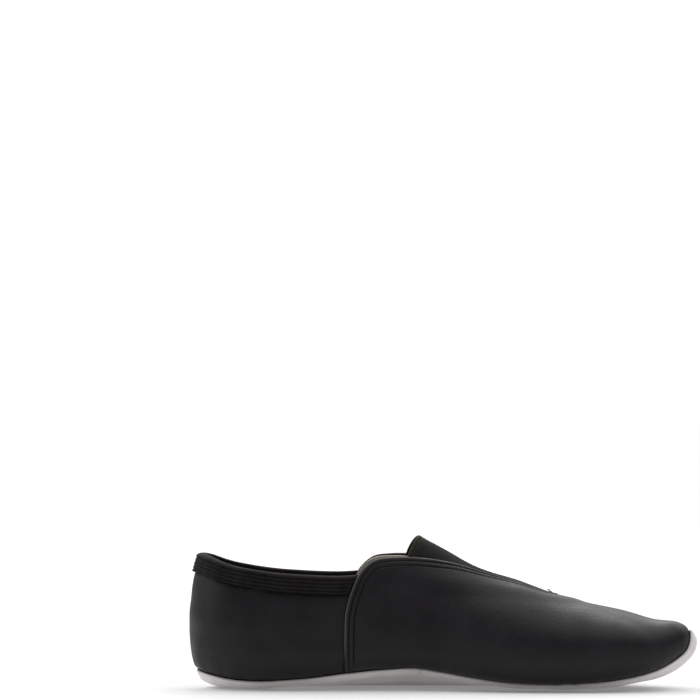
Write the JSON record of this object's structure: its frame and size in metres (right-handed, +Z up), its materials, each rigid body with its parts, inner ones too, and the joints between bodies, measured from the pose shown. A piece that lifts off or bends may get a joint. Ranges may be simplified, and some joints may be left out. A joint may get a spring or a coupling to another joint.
{
  "type": "ballet slipper",
  "caption": "Soft full-sole slipper for ballet and gymnastics: leather vamp lapped over a leather heel quarter, elastic instep gore, elastic collar binding and turned suede sole.",
  "frame": {"origin": "on the floor, under the middle of the slipper's box", "axes": "+X from the heel to the toe, +Y from the inner side of the left foot to the outer side, +Z up"},
  "size_m": [0.249, 0.086, 0.0748],
  "materials": {
    "upper_leather": "soft smooth black glove leather with a low sheen",
    "sole_suede": "white brushed suede, matte",
    "gore_elastic": "black ribbed woven elastic, matte",
    "collar_elastic": "black ribbed folded elastic binding, matte",
    "lining_cotton": "undyed cotton twill",
    "sock_fabric": "brushed fabric insole cover",
    "insole_foam": "thin soft insole foam",
    "thread_black": "black twisted sewing thread"
  },
  "bodies": {
    "root": {"outsole": "sole_suede", "insole_pad": "insole_foam", "insole_sock": "sock_fabric", "vamp": "upper_leather", "vamp_lining": "lining_cotton", "heel_quarter": "upper_leather", "heel_lining": "lining_cotton", "instep_gore": "gore_elastic", "collar_elastic": "collar_elastic", "vamp_edge_stitch_1": "thread_black", "vamp_edge_stitch_2": "thread_black", "collar_stitch_1": "thread_black", "collar_stitch_2": "thread_black", "collar_stitch_3": "thread_black", "collar_stitch_4": "thread_black", "throat_bartack": "thread_black"}
  },
  "joints": []
}
